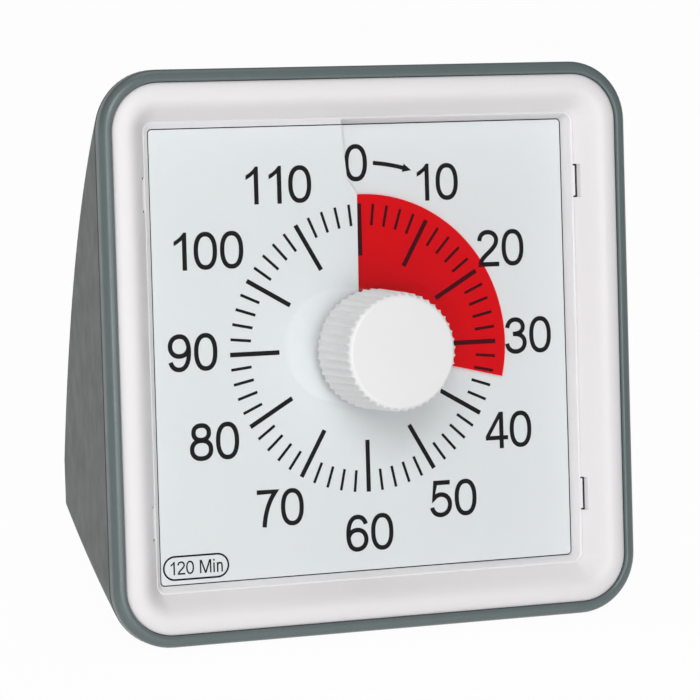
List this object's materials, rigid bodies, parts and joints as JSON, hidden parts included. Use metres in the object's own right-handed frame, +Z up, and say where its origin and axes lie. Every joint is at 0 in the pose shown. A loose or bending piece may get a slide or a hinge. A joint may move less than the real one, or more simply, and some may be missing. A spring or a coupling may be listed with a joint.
{
  "type": "visual countdown timer",
  "caption": "Wedge-shaped desk timer with a square dial behind a clear lens; a ribbed knob winds a red film out of a slit to show the minutes left.",
  "frame": {"origin": "middle of the footprint, on the surface that the feet stand on", "axes": "+X to the right seen from the front, +Y towards the back, +Z up; the dial faces -Y and leans back by 21 degrees"},
  "size_m": [0.14, 0.0852, 0.1328],
  "materials": {
    "housing": "fine satin texture",
    "bezel": "polished",
    "lens": "clear polished",
    "dial": "printed",
    "film": "translucent film",
    "film_hub": "moulded",
    "knob": "satin",
    "steel": "plated",
    "brass": "turned",
    "spring_brass": "rolled strip",
    "nylon": "moulded",
    "chassis": "moulded",
    "movement_case": "moulded",
    "coil": "enamelled wire",
    "board": "solder mask",
    "board_parts": "moulded",
    "foot": "matt",
    "cell": "printed sleeve",
    "contact": "nickel plated",
    "switch": "moulded",
    "sounder": "moulded"
  },
  "bodies": {
    "housing": {"front_frame": "housing", "rear_shell": "housing", "front_bezel": "bezel", "dial_lens": "lens", "dial_sheet": "dial", "zero_contact": "spring_brass", "dial_chassis": "chassis", "bush_nut": "brass", "bush_washer": "steel", "movement_front": "movement_case", "movement_back": "movement_case", "motor_stator": "steel", "motor_coil": "coil", "circuit_board": "board", "board_parts": "board_parts", "case_screws": "steel", "chassis_screws": "steel", "feet": "foot", "battery_cell": "cell", "spring_contact": "contact", "plate_contact": "contact", "switch_body": "switch", "sounder": "sounder"},
    "knob_shaft": {"knob": "knob", "spindle": "steel", "zero_cam": "nylon"},
    "film": {"time_film": "film", "film_hub": "film_hub"},
    "rotor": {"motor_rotor": "nylon"},
    "fourth": {"fourth_wheel": "nylon"},
    "third": {"third_wheel": "nylon"},
    "centre_gear": {"centre_wheel": "nylon"},
    "door": {"battery_door": "housing"},
    "switch": {"switch_slider": "switch"}
  },
  "joints": [
    {"name": "knob_turn", "type": "hinge", "parent": "housing", "child": "knob_shaft", "pos_m": [0, -0.00995, 0.06492], "axis": [0, 0.9336, -0.3584], "range_deg": [-103.5, 256.5]},
    {"name": "film_rise", "type": "slide", "parent": "knob_shaft", "child": "film", "axis": [0, -0.9336, 0.3584], "range_m": [-0.0007, 0.00172]},
    {"name": "rotor_spin", "type": "hinge", "parent": "housing", "child": "rotor", "pos_m": [-0.00964, 0.00598, 0.07264], "axis": [0, 0.9336, -0.3584], "continuous": true},
    {"name": "fourth_spin", "type": "hinge", "parent": "housing", "child": "fourth", "pos_m": [-0.01544, 0.00238, 0.06326], "axis": [0, 0.9336, -0.3584], "continuous": true},
    {"name": "third_spin", "type": "hinge", "parent": "housing", "child": "third", "pos_m": [-0.01147, -0.00153, 0.05308], "axis": [0, 0.9336, -0.3584], "continuous": true},
    {"name": "centre_spin", "type": "hinge", "parent": "housing", "child": "centre_gear", "pos_m": [0, -0.00995, 0.06492], "axis": [0, 0.9336, -0.3584], "continuous": true},
    {"name": "battery_door_tilt", "type": "hinge", "parent": "housing", "child": "door", "pos_m": [0, 0.0425, 0.00765], "axis": [-1, 0, 0], "range_deg": [0, 60]},
    {"name": "switch_slide", "type": "slide", "parent": "housing", "child": "switch", "axis": [-1, 0, 0], "range_m": [0, 0.005]}
  ],
  "couplings": [
    {"joint": "film_rise", "follows": "knob_turn", "m_per_rad": 0.00038197},
    {"joint": "fourth_spin", "follows": "rotor_spin", "ratio": -0.20833},
    {"joint": "third_spin", "follows": "rotor_spin", "ratio": 0.043403},
    {"joint": "centre_spin", "follows": "rotor_spin", "ratio": -0.0072338}
  ]
}
